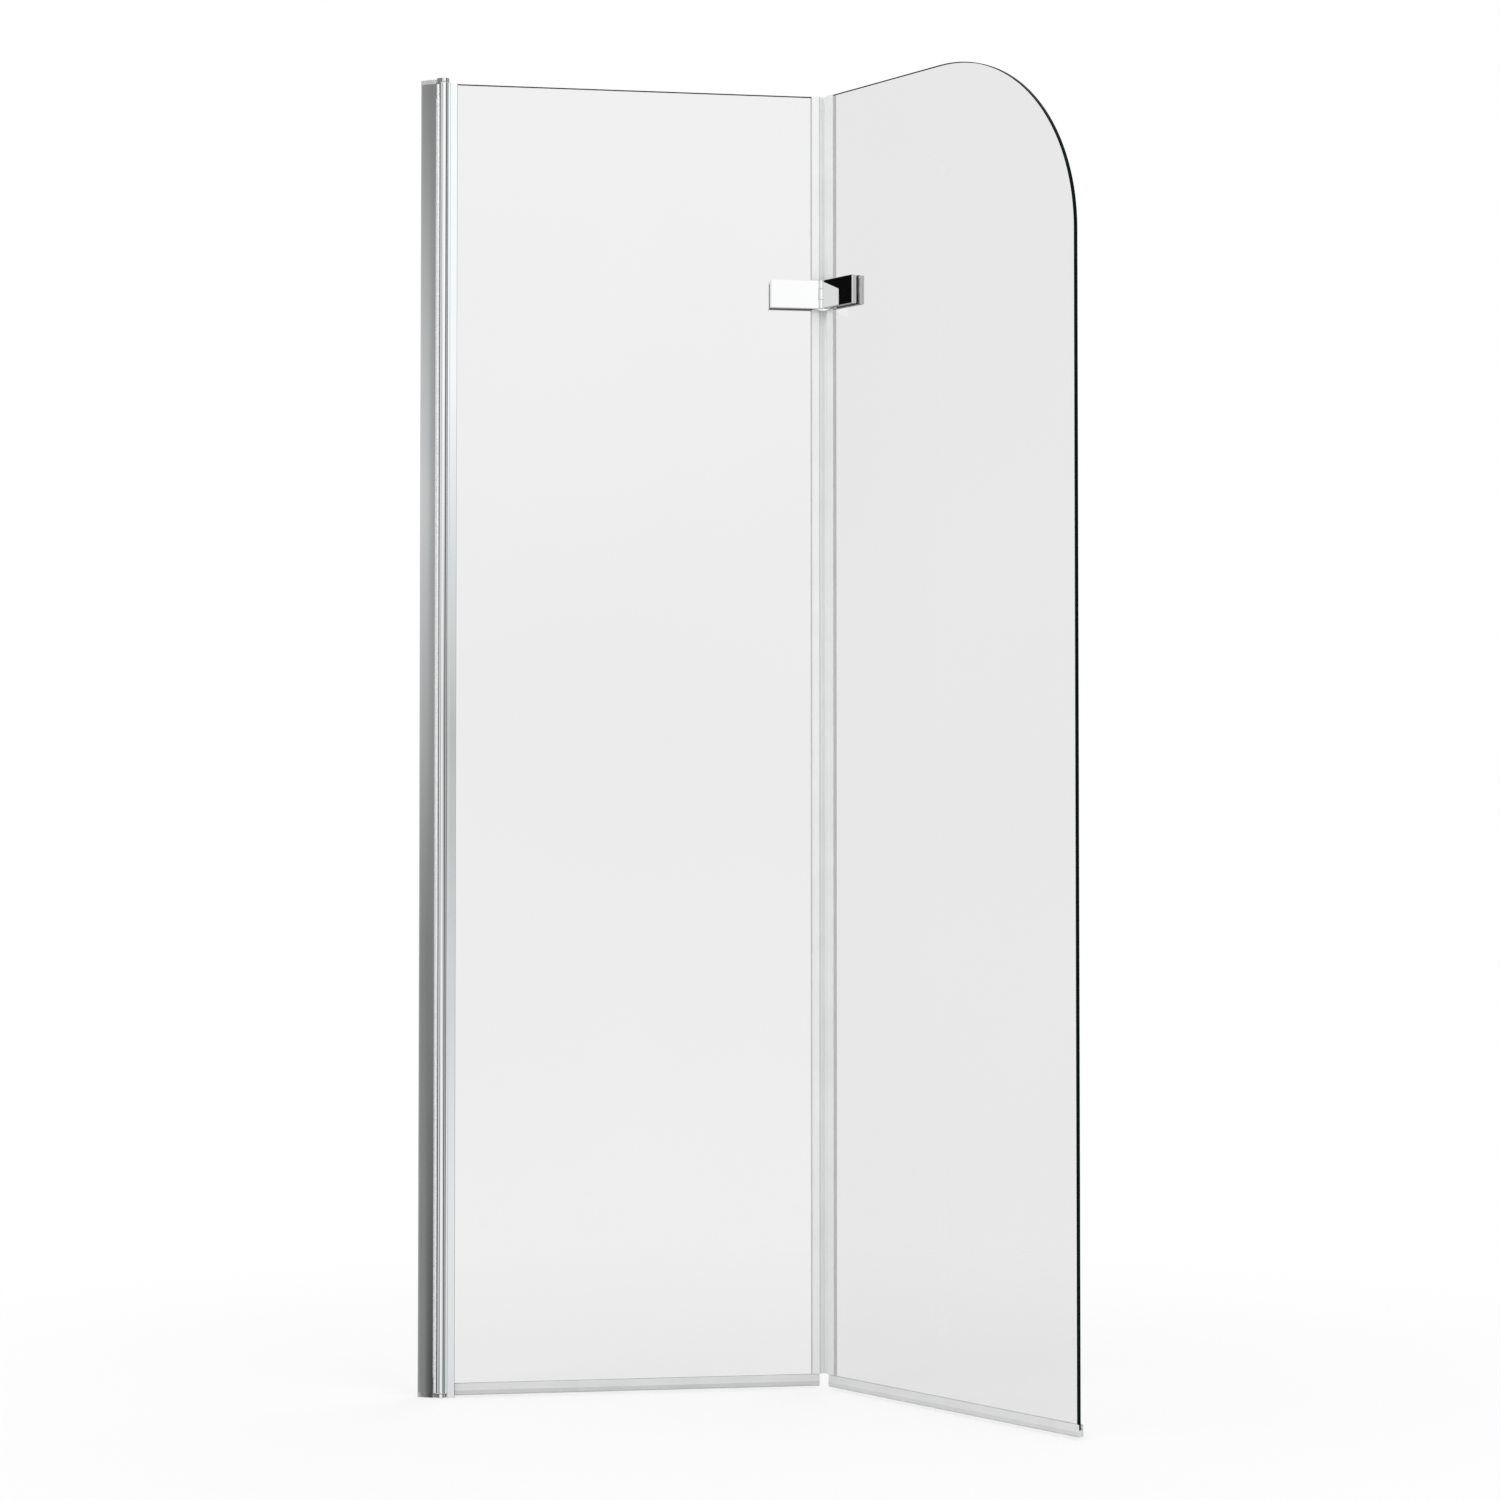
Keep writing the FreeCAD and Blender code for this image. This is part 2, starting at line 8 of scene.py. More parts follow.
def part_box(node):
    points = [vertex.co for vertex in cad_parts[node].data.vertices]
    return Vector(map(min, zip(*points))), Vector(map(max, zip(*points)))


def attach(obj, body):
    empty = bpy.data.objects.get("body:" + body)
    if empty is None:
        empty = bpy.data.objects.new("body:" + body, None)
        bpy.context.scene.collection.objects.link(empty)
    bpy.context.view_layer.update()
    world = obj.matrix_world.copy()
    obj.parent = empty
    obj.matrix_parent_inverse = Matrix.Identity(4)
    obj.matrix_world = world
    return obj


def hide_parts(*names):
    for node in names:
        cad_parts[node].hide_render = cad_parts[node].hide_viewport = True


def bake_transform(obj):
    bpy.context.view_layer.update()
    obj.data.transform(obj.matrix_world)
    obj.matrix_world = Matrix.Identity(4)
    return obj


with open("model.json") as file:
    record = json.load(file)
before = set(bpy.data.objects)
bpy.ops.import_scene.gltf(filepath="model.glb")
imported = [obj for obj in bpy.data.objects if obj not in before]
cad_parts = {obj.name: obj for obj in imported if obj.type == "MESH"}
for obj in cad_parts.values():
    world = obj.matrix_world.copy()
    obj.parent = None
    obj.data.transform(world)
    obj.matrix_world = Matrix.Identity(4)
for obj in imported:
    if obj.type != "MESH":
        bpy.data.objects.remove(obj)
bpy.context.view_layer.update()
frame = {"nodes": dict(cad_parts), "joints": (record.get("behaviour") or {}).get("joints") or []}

scene = bpy.context.scene
mm = 0.001
axisAt = {joint["name"]: Vector(joint["pos_m"]) for joint in frame["joints"]}
restAngle = {"swing": 30.0, "fold": 60.5}   # degrees, as the panels stand in the frame
print("frame loaded:", len(frame["nodes"]), "nodes")


def placeAt(point, degrees):   # from millimetres beside an axis to metres in the frame
    turned = Matrix.Rotation(math.radians(degrees), 4, "Z")
    return Matrix.Translation(point) @ turned @ Matrix.Scale(mm, 4)


# x runs along the panel, y into the picture
innerPlace = placeAt(axisAt["fold_hinge"], restAngle["swing"])
outerPlace = placeAt(axisAt["fold_hinge"], restAngle["swing"] - restAngle["fold"])


class Wire:   # one socket, so that sums on it read as sums
    def __init__(self, board, socket):
        self.board = board
        self.socket = socket

    def pick(self, name):
        return Wire(self.board, self.socket.node.outputs[name])

    def sum(self, operation, first, second):
        return self.board.make("ShaderNodeMath", {"operation": operation}, {0: first, 1: second})

    def __add__(self, other):
        return self.sum("ADD", self, other)

    def __radd__(self, other):
        return self.sum("ADD", other, self)

    def __sub__(self, other):
        return self.sum("SUBTRACT", self, other)

    def __rsub__(self, other):
        return self.sum("SUBTRACT", other, self)

    def __mul__(self, other):
        return self.sum("MULTIPLY", self, other)

    def __rmul__(self, other):
        return self.sum("MULTIPLY", other, self)

    def __gt__(self, other):
        return self.sum("GREATER_THAN", self, other)

    def __lt__(self, other):
        return self.sum("LESS_THAN", self, other)


class Board:   # one node tree that is being wired
    def __init__(self, tree):
        self.tree = tree
        tree.nodes.clear()

    def make(self, kind, settings=None, sockets=None, out=0):
        made = self.tree.nodes.new(kind)
        for name, value in (settings or {}).items():
            if name == "stops":
                self.setStops(made.color_ramp, value)
            else:
                setattr(made, name, value)
        for name, value in (sockets or {}).items():
            for one in value if isinstance(value, list) else [value]:
                if isinstance(one, Wire):
                    self.tree.links.new(one.socket, made.inputs[name])
                else:
                    made.inputs[name].default_value = one
        return Wire(self, made.outputs[out]) if made.outputs else None

    def setStops(self, ramp, stops):
        while len(ramp.elements) < len(stops):
            ramp.elements.new(1.0)
        for element, (place, colour) in zip(ramp.elements, stops):
            element.position = place
            element.color = (*colour, 1.0)


def grey(level):
    return (level, level, level)


# finishes

def newFinish(name):
    finish = bpy.data.materials.new(name)
    finish.use_nodes = True
    board = Board(finish.node_tree)
    spot = board.make("ShaderNodeTexCoord", out="Object")
    return finish, board, spot


def noiseOn(board, spot, scale, detail=3.0, stretch=(1, 1, 1)):
    mapped = board.make("ShaderNodeMapping", {}, {"Vector": spot, "Scale": stretch})
    values = {"Vector": mapped, "Scale": scale, "Detail": detail}
    return board.make("ShaderNodeTexNoise", {}, values)


toneSpan = (0.3, 0.7)   # share of the noise that the two tones lie between


def toneBetween(board, level, dark, light):
    stops = list(zip(toneSpan, (dark, light)))
    return board.make("ShaderNodeValToRGB", {"stops": stops}, {"Fac": level})


def bumpFrom(board, level, look):
    values = {"Height": level, "Strength": look["strength"], "Distance": look["depth"]}
    return board.make("ShaderNodeBump", {}, values)


def closeFinish(board, sockets):
    surface = board.make("ShaderNodeBsdfPrincipled", {}, sockets)
    board.make("ShaderNodeOutputMaterial", {}, {"Surface": surface})


metalLook = {"cloud": 9.0, "lineDetail": 2.0, "polished": 0.04}
profileLines = {"scale": 900.0, "stretch": (1, 1, 0.004), "strength": 0.03, "depth": 0.00002}
plateLines = {"scale": 300.0, "stretch": (1, 1, 1), "strength": 0.02, "depth": 0.00002}
screwLines = {"scale": 1500.0, "stretch": (1, 1, 1), "strength": 0.15, "depth": 0.00002}
capNose = 0.0185   # metres from the wall: the top cap is polished from here on


def brightMetal(name, dark, light, rough, spread, lines, metal=1.0, polishFrom=None):
    finish, board, spot = newFinish(name)
    cloud = noiseOn(board, spot, metalLook["cloud"])
    roughness = rough + spread * cloud
    if polishFrom:
        across = board.make("ShaderNodeSeparateXYZ", {}, {"Vector": spot})
        polished = metalLook["polished"]
        roughness = polished + (across < polishFrom) * (roughness - polished)
    drawn = noiseOn(board, spot, lines["scale"], metalLook["lineDetail"], lines["stretch"])
    closeFinish(board, {
        "Base Color": toneBetween(board, cloud, dark, light),
        "Metallic": metal,
        "Roughness": roughness,
        "Normal": bumpFrom(board, drawn, lines),
    })
    return finish


polishedProfile = brightMetal(
    "polishedProfile", (0.82, 0.845, 0.85), (0.86, 0.88, 0.885), 0.04, 0.05, profileLines)
platedChrome = brightMetal(
    "platedChrome", (0.86, 0.865, 0.87), (0.89, 0.892, 0.895), 0.015, 0.02, plateLines)
screwSteel = brightMetal("screwSteel", grey(0.5), grey(0.6), 0.2, 0.15, screwLines)
satinCap = brightMetal("satinCap", grey(0.78), grey(0.84), 0.3, 0.1, plateLines, polishFrom=capNose)
satinPost = brightMetal("satinPost", grey(0.95), grey(0.98), 0.3, 0.08, profileLines, metal=0.4)

glassLook = {"cloud": 3.0, "spread": 0.012, "bending": 1.5}
# pane edges: grit and roughness are their real ground finish; the near-black colour is painted shade,
# the dark that an edge of clear glass shows
edgeLook = {
    "dark": (0.001, 0.003, 0.003),
    "light": (0.002, 0.007, 0.007),
    "cloud": 40.0,
    "grit": 2500.0,
    "rough": 0.18,
    "spread": 0.12,
    "shine": 0.05,
    "strength": 0.1,
    "depth": 0.00003,
}
vinylLook = {
    "cloud": 25.0,
    "scale": 700.0,
    "lineDetail": 2.0,
    "stretch": (1, 1, 0.01),
    "rough": 0.14,
    "spread": 0.1,
    "strength": 0.05,
    "depth": 0.00003,
}
mouldLook = {"cloud": 60.0, "spread": 0.15, "strength": 0.2, "depth": 0.00004}


def clearGlass(name, dark, light):
    finish, board, spot = newFinish(name)
    cloud = noiseOn(board, spot, glassLook["cloud"])
    closeFinish(board, {
        "Base Color": toneBetween(board, cloud, dark, light),
        "Roughness": glassLook["spread"] * cloud,
        "Transmission Weight": 1.0,
        "IOR": glassLook["bending"],
    })
    return finish


# ground finish for the open pane edges, coloured near-black as painted shade
def groundEdgeShade(name):
    finish, board, spot = newFinish(name)
    cloud = noiseOn(board, spot, edgeLook["cloud"])
    grit = noiseOn(board, spot, edgeLook["grit"])
    closeFinish(board, {
        "Base Color": toneBetween(board, cloud, edgeLook["dark"], edgeLook["light"]),
        "Roughness": edgeLook["rough"] + edgeLook["spread"] * cloud,
        "Specular IOR Level": edgeLook["shine"],
        "Normal": bumpFrom(board, grit, edgeLook),
    })
    return finish


def clearVinyl(name, dark, light, clarity, bending=1.4):
    look = vinylLook
    finish, board, spot = newFinish(name)
    cloud = noiseOn(board, spot, look["cloud"])
    drawn = noiseOn(board, spot, look["scale"], look["lineDetail"], look["stretch"])
    closeFinish(board, {
        "Base Color": toneBetween(board, cloud, dark, light),
        "Roughness": look["rough"] + look["spread"] * cloud,
        "Transmission Weight": clarity,
        "IOR": bending,
        "Normal": bumpFrom(board, drawn, look),
    })
    return finish


def mouldedFinish(name, dark, light, rough, grain):
    finish, board, spot = newFinish(name)
    cloud = noiseOn(board, spot, mouldLook["cloud"])
    skin = noiseOn(board, spot, grain)
    closeFinish(board, {
        "Base Color": toneBetween(board, cloud, dark, light),
        "Roughness": rough + mouldLook["spread"] * cloud,
        "Normal": bumpFrom(board, skin, mouldLook),
    })
    return finish


paneGlass = clearGlass("paneGlass", grey(0.855), grey(0.865))
paneEdgeShade = groundEdgeShade("paneEdgeShade")
sealVinyl = clearVinyl("sealVinyl", (0.87, 0.883, 0.878), (0.91, 0.92, 0.916), 0.06)
# painted shade: the back flange's end is tinted darker, for the shade seen there through the glass
sealLipShade = clearVinyl("sealLipShade", (0.58, 0.592, 0.588), (0.63, 0.64, 0.636), 1.0, 1.1)
# painted shade: a darker rim along the tip of the front flange
sealRimShade = clearVinyl("sealRimShade", (0.5, 0.512, 0.508), (0.55, 0.56, 0.556), 0.06)
# painted shade: a darker band at the clip's corner beside the fold
sealHeelShade = clearVinyl("sealHeelShade", (0.6, 0.612, 0.608), (0.64, 0.65, 0.646), 0.06)
# drip seal tones: copies of the clear seal vinyl painted darker as shade, the inner seal darker than
# the outer, each bulb darker again and the bulb's bottom edge darkest
innerDripShade = clearVinyl("innerDripShade", (0.75, 0.765, 0.76), (0.79, 0.802, 0.797), 0.06)
innerBulbShade = clearVinyl("innerBulbShade", (0.66, 0.672, 0.668), (0.70, 0.71, 0.706), 0.12)
outerDripShade = clearVinyl("outerDripShade", (0.81, 0.825, 0.82), (0.85, 0.862, 0.857), 0.06)
outerBulbShade = clearVinyl("outerBulbShade", (0.78, 0.792, 0.788), (0.82, 0.83, 0.826), 0.12)
bulbFootShade = clearVinyl("bulbFootShade", (0.46, 0.472, 0.468), (0.51, 0.52, 0.516), 0.12)
softRubber = mouldedFinish("softRubber", grey(0.02), grey(0.035), 0.5, 1800.0)
whiteNylon = mouldedFinish("whiteNylon", (0.72, 0.72, 0.69), (0.8, 0.8, 0.77), 0.35, 1400.0)

finishOf = {
    "polished_profile": polishedProfile,
    "chrome": platedChrome,
    "steel": screwSteel,
    "glass": paneGlass,
    "clear_seal": sealVinyl,
    "soft_gasket": softRubber,
    "nylon": whiteNylon,
}
for part in frame["nodes"].values():
    for held in part.material_slots:
        held.material = finishOf[held.material.name.split(".")[0]]
frame["nodes"]["top_pivot_cap"].material_slots[0].material = satinCap
frame["nodes"]["pivot_post"].material_slots[0].material = satinPost

# no second profile is mirrored in the outer pane
unmirrored = [
    "wall_channel",
    "pivot_post",
    "swing_profile",
    "top_pivot_cap",
    "bottom_pivot_cap",
    "side_screw_covers",
]
for name in unmirrored:
    frame["nodes"][name].visible_glossy = False
print("finishes:", len(finishOf))


# meshes from loops

weldGap = 1e-6   # metres


def settleMesh(mesh, sharpDegrees):
    built = bmesh.new()
    built.from_mesh(mesh)
    bmesh.ops.remove_doubles(built, verts=built.verts, dist=weldGap)
    bmesh.ops.recalc_face_normals(built, faces=built.faces)
    for face in built.faces:
        face.smooth = True
    for edge in built.edges:
        edge.smooth = edge.calc_face_angle(math.pi) < math.radians(sharpDegrees)
    built.to_mesh(mesh)
    built.free()


def addPiece(name, mesh, standsFor, body=None):
    piece = bpy.data.objects.new(name, mesh)
    scene.collection.objects.link(piece)
    if body:
        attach(piece, body)
    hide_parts(*standsFor)
    return piece


def ringAround(x, y, radius, steps):   # clockwise, so that its left is the glass
    turns = [-2 * math.pi * i / steps for i in range(steps)]
    return [Vector((x + radius * math.cos(a), y + radius * math.sin(a))) for a in turns]


def movedLeft(loop, distance):
    moved = []
    for before, here, after in zip(loop[-1:] + loop[:-1], loop, loop[1:] + loop[:1]):
        arriving = (here - before).normalized()
        leaving = (after - here).normalized()
        leftOf = Vector((-arriving.y - leaving.y, arriving.x + leaving.x))
        moved.append(here + leftOf * distance / (1 + arriving.dot(leaving)))
    return moved


# glass panes, drawn in millimetres from the fold axis

pane = {
    "front": 7.0,
    "back": 12.0,
    "foot": -691.5,
    "top": 694.0,
    "innerReach": (-397.9, -0.9),
    "outerReach": (4.2, 384.2),
    "cornerRadius": 200.0,
    "cornerSteps": 90,
    "arris": 0.8,
    "holeReach": (17.0, 41.0),
    "holeHeight": 477.5,
    "holeRadius": 5.0,
    "holeSteps": 32,
    "edgeSlack": 0.5,   # nearer than this counts as on the edge
    "sharp": 20.0,
}


def paneMesh(name, outline, holes, isOpen):
    built = bmesh.new()
    arris = pane["arris"]
    layers = [
        (pane["front"], arris),
        (pane["front"] + arris, 0.0),
        (pane["back"] - arris, 0.0),
        (pane["back"], arris),
    ]
    rims = ([], [])
    for loop in [outline] + holes:
        rings = []
        for depth, inset in layers:
            rings.append([built.verts.new((p.x, depth, p.y)) for p in movedLeft(loop, inset)])
        for near, far in zip(rings, rings[1:]):
            for i in range(len(loop)):
                j = (i + 1) % len(loop)
                face = built.faces.new((near[i], near[j], far[j], far[i]))
                face.material_index = int(loop is outline and isOpen((loop[i] + loop[j]) / 2))
        for rim, ring in zip(rims, (rings[0], rings[-1])):
            rim.extend(built.edges.get((a, b)) for a, b in zip(ring, ring[1:] + ring[:1]))
    for rim in rims:
        bmesh.ops.triangle_fill(built, edges=rim, use_beauty=True)
    mesh = bpy.data.meshes.new(name)
    built.to_mesh(mesh)
    built.free()
    mesh.materials.append(paneGlass)
    mesh.materials.append(paneEdgeShade)
    return mesh


def addPane(name, outline, side, place, isOpen, node, body):
    height, radius, steps = pane["holeHeight"], pane["holeRadius"], pane["holeSteps"]
    holes = [ringAround(side * reach, height, radius, steps) for reach in pane["holeReach"]]
    mesh = paneMesh(name, outline, holes, isOpen)
    mesh.transform(place)
    settleMesh(mesh, pane["sharp"])
    piece = addPiece(name, mesh, [node], body)
    piece.visible_shadow = False   # lamps shine through it
    piece.visible_glossy = False   # the hinge plates mirror the room, not the clear pane


def innerOutline():
    x0, x1 = pane["innerReach"]
    corners = [(x0, pane["foot"]), (x1, pane["foot"]), (x1, pane["top"]), (x0, pane["top"])]
    return [Vector(corner) for corner in corners]


def outerOutline():
    x0, x1 = pane["outerReach"]
    radius = pane["cornerRadius"]
    turns = [math.pi / 2 * i / pane["cornerSteps"] for i in range(pane["cornerSteps"] + 1)]
    middle = Vector((x1 - radius, pane["top"] - radius))
    bend = [middle + radius * Vector((math.cos(a), math.sin(a))) for a in turns]
    foot = [Vector((x0, pane["foot"])), Vector((x1, pane["foot"]))]
    return foot + bend + [Vector((x0, pane["top"]))]


# edges that no clip, clamp or seal covers are ground, and coloured near-black as painted shade
def innerOpen(spot):
    return spot.y > pane["top"] - pane["edgeSlack"]


def outerOpen(spot):
    low, left = pane["foot"], pane["outerReach"][0]
    return spot.y > low + pane["edgeSlack"] and spot.x > left + pane["edgeSlack"]


addPane("innerPane", innerOutline(), -1, innerPlace, innerOpen, "inner_glass", "inner_panel")
addPane("outerPane", outerOutline(), 1, outerPlace, outerOpen, "outer_glass", "outer_panel")
print("panes done")


# strips that run along an edge: an outline is rounded, filled and drawn out to its length

edgeRun = {"cornerSteps": 4, "weld": 0.0001, "sharp": 15.0}


def newTree(name, inputs):
    tree = bpy.data.node_groups.new(name, "GeometryNodeTree")
    tree.interface.new_socket("Geometry", in_out="INPUT", socket_type="NodeSocketGeometry")
    for label, kind in inputs.items():
        tree.interface.new_socket(label, in_out="INPUT", socket_type=kind)
    tree.interface.new_socket("Geometry", in_out="OUTPUT", socket_type="NodeSocketGeometry")
    board = Board(tree)
    return board, board.make("NodeGroupInput")


def closeTree(board, shape, finish):
    whole = board.make("GeometryNodeRealizeInstances", {}, {"Geometry": shape})
    dressed = board.make("GeometryNodeSetMaterial", {}, {"Geometry": whole, "Material": finish})
    board.make("NodeGroupOutput", {}, {"Geometry": dressed})
    return board.tree


def stripTree():
    inputs = {
        "Length": "NodeSocketFloat",
        "Corner": "NodeSocketFloat",
        "Finish": "NodeSocketMaterial",
    }
    board, given = newTree("edgeStrip", inputs)
    path = board.make("GeometryNodeMeshToCurve", {}, {"Mesh": given.pick("Geometry")})
    path = board.make(
        "GeometryNodeFilletCurve",
        {"mode": "POLY"},
        {
            "Curve": path,
            "Count": edgeRun["cornerSteps"],
            "Radius": given.pick("Corner"),
            "Limit Radius": True,
        },
    )
    end = board.make("GeometryNodeFillCurve", {"mode": "TRIANGLES"}, {"Curve": path})
    along = board.make("ShaderNodeCombineXYZ", {}, {"Z": given.pick("Length")})
    run = board.make(
        "GeometryNodeExtrudeMesh",
        {"mode": "FACES"},
        {"Mesh": end, "Offset": along, "Individual": False},
    )
    start = board.make("GeometryNodeFlipFaces", {}, {"Mesh": end})
    both = board.make("GeometryNodeJoinGeometry", {}, {"Geometry": [run, start]})
    joined = {"Geometry": both, "Distance": edgeRun["weld"]}
    shut = board.make("GeometryNodeMergeByDistance", {}, joined)
    return closeTree(board, shut, given.pick("Finish"))


def rowTree():
    inputs = {
        "Count": "NodeSocketInt",
        "Spacing": "NodeSocketFloat",
        "Finish": "NodeSocketMaterial",
    }
    board, given = newTree("screwRow", inputs)
    step = board.make("ShaderNodeCombineXYZ", {}, {"X": given.pick("Spacing")})
    spread = {"Count": given.pick("Count"), "Offset": step}
    row = board.make("GeometryNodeMeshLine", {"mode": "OFFSET"}, spread)
    copies = {"Points": row, "Instance": given.pick("Geometry")}
    placed = board.make("GeometryNodeInstanceOnPoints", {}, copies)
    return closeTree(board, placed, given.pick("Finish"))


def meshFromTree(source, tree, values):
    modifier = source.modifiers.new("tree", "NODES")
    modifier.node_group = tree
    for item in tree.interface.items_tree:
        if item.in_out == "INPUT" and item.name in values:
            modifier[item.identifier] = values[item.name]
    scene.collection.objects.link(source)
    seen = source.evaluated_get(bpy.context.evaluated_depsgraph_get())
    mesh = bpy.data.meshes.new_from_object(seen)
    source.modifiers.remove(modifier)
    bpy.data.objects.remove(source)
    mesh.materials.clear()   # the tree leaves an empty slot first
    mesh.materials.append(values["Finish"])
    mesh.polygons.foreach_set("material_index", [0] * len(mesh.polygons))
    return mesh


def outlineObject(loops):
    mesh = bpy.data.meshes.new("outline")
    points, edges = [], []
    for loop in loops:
        first, count = len(points), len(loop)
        points += [(x, y, 0.0) for x, y in loop]
        edges += [(first + i, first + (i + 1) % count) for i in range(count)]
    mesh.from_pydata(points, edges, [])
    return bpy.data.objects.new("outline", mesh)


edgeStrip = stripTree()

# for a strip that lies along x: its outline's x goes across, and its y goes up
lengthwise = Matrix(((0, 0, 1, 0), (1, 0, 0, 0), (0, 1, 0, 0), (0, 0, 0, 1)))


def stripMesh(loops, length, corner, place, tones, toneAt=None, sharpDegrees=edgeRun["sharp"]):
    values = {"Length": length, "Corner": corner, "Finish": tones[0]}
    mesh = meshFromTree(outlineObject(loops), edgeStrip, values)
    for tone in tones[1:]:
        mesh.materials.append(tone)
    if toneAt:
        for face in mesh.polygons:
            face.material_index = tones.index(toneAt(face.center))
    mesh.transform(place)
    settleMesh(mesh, sharpDegrees)
    return mesh


# clear clips on the facing edges of the panes, and the soft fold between them

strip = {
    "lower": (-685.0, 461.5),
    "upper": (493.5, 694.0),
    "front": 6.0,
    "back": 13.0,
    "web": 1.2,
    "flange": 8.3,
    "backReach": {-1: 8.6, 1: 9.6},
    "lip": 5.2,   # soft end of the back flange, tinted darker as painted shade
    "lipGap": 0.02,
    "line": 0.6,   # painted shade: darker rim of the front flange on the inner pane
    "shadeHeel": 1.3,   # painted shade: darker corner of it beside the fold
    "tipTaper": 0.35,
    "air": 0.06,   # thin film of air between clip and glass
    "corner": 0.25,
    "foldWall": 0.8,
    "foldDepth": 9.42,
    "foldReach": 5.49,
    "foldGap": 0.3,
    "foldPull": 0.55,   # how far the curve is drawn past the valley, to run close to it
    "foldSteps": 24,
    "foldCorner": 0.1,
    "foldSharp": 40.0,
}


def clipLoops(edge, side):
    web = edge - side * strip["web"]
    tip = edge + side * strip["flange"]
    seat = edge - side * strip["air"]
    end = edge + side * strip["backReach"][side]
    joint = end - side * strip["lip"]
    front, back = strip["front"], strip["back"]
    taper, air = strip["tipTaper"], strip["air"]
    rim = tip - side * strip["line"]
    shadeHeel = web + side * strip["shadeHeel"]
    lean = taper / (tip - web)
    clip = [
        (web, front),
        (shadeHeel, front + lean * (shadeHeel - web)),
        (rim, front + lean * (rim - web)),
        (tip, front + taper),
        (tip, pane["front"] - air),
        (seat, pane["front"] - air),
        (seat, pane["back"] + air),
        (joint, pane["back"] + air),
        (joint, back),
        (web, back),
    ]
    lipStart = joint + side * strip["lipGap"]
    lip = [
        (lipStart, pane["back"] + air),
        (end, pane["back"] + air),
        (end, back - taper),
        (lipStart, back),
    ]
    return [clip, lip], lipStart, rim, shadeHeel


def runPlace(place, start):
    return place @ Matrix.Translation((0, 0, start))


def addClip(name, edge, side, level, place, node, body):
    start, stop = strip[level]
    loops, lipStart, rim, shadeHeel = clipLoops(edge, side)

    # painted shade on the clip: a darker end of the back flange, a darker rim and a darker corner
    # band
    def toneAt(spot):
        if spot.y > pane["back"] and side * (spot.x - lipStart) > -strip["lipGap"] / 2:
            return sealLipShade
        if side < 0 and spot.y < pane["front"]:
            if spot.x < rim:
                return sealRimShade
            if spot.x > shadeHeel:
                return sealHeelShade
        return sealVinyl

    tones = [sealVinyl, sealLipShade] + ([sealRimShade, sealHeelShade] if side < 0 else [])
    here = runPlace(place, start)
    mesh = stripMesh(loops, stop - start, strip["corner"], here, tones, toneAt)
    addPiece(name, mesh, [node], body)


innerEdge, outerEdge = pane["innerReach"][1], pane["outerReach"][0]
addClip("innerClipLower", innerEdge, -1, "lower", innerPlace, "inner_clip_lower", "inner_panel")
addClip("innerClipUpper", innerEdge, -1, "upper", innerPlace, "inner_clip_upper", "inner_panel")
addClip("outerClipLower", outerEdge, 1, "lower", outerPlace, "outer_clip_lower", "outer_panel")
addClip("outerClipUpper", outerEdge, 1, "upper", outerPlace, "outer_clip_upper", "outer_panel")


def foldEnds():   # where the soft fold meets the two clips, seen from the inner panel
    turn = math.radians(restAngle["fold"])
    start = Vector((innerEdge + strip["web"], pane["front"]))
    reach = outerEdge - strip["web"] - strip["foldGap"]
    depth = pane["front"]
    stop = Vector((
        reach * math.cos(turn) + depth * math.sin(turn),
        depth * math.cos(turn) - reach * math.sin(turn),
    ))
    return start, stop


def foldLoop():
    start, stop = foldEnds()
    valley = Vector((strip["foldReach"], strip["foldDepth"]))
    pull = valley + (valley - (start + stop) / 2) * strip["foldPull"]
    steps = strip["foldSteps"]
    front, back = [], []
    for i in range(steps + 1):
        t = i / steps
        here = start * (1 - t) ** 2 + pull * (2 * t * (1 - t)) + stop * t ** 2
        way = ((pull - start) * (1 - t) + (stop - pull) * t).normalized()
        front.append(here)
        back.append(here + Vector((-way.y, way.x)) * strip["foldWall"])
    return [tuple(p) for p in front + back[::-1]]


def addFold(name, level, node):
    start, stop = strip[level]
    mesh = stripMesh(
        [foldLoop()],
        stop - start,
        strip["foldCorner"],
        runPlace(innerPlace, start),
        [sealVinyl],
        sharpDegrees=strip["foldSharp"],
    )
    piece = addPiece(name, mesh, [node])
    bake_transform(piece)


addFold("foldGussetLower", "lower", "fold_gusset_lower")
addFold("foldGussetUpper", "upper", "fold_gusset_upper")
print("clips and folds done")


# drip seals: a clip on the pane's lower edge over a soft bulb

drip = {
    "middle": 9.5,
    "half": 3.5,
    "flange": 6.0,
    "floor": 1.2,
    "drop": 6.5,
    "bulbCut": 1.6,
    "bulbRound": 0.3,   # share of the cut at which its rounded corner lies
    "line": 1.0,   # painted shade: darker edge along the bottom of the bulb
    "tipHeight": 0.9,
    "tipTaper": 0.3,
    "air": 0.06,
    "corner": 0.25,
    "inner": (-392.0, -0.9),
    "outer": (4.2, 386.2),
}


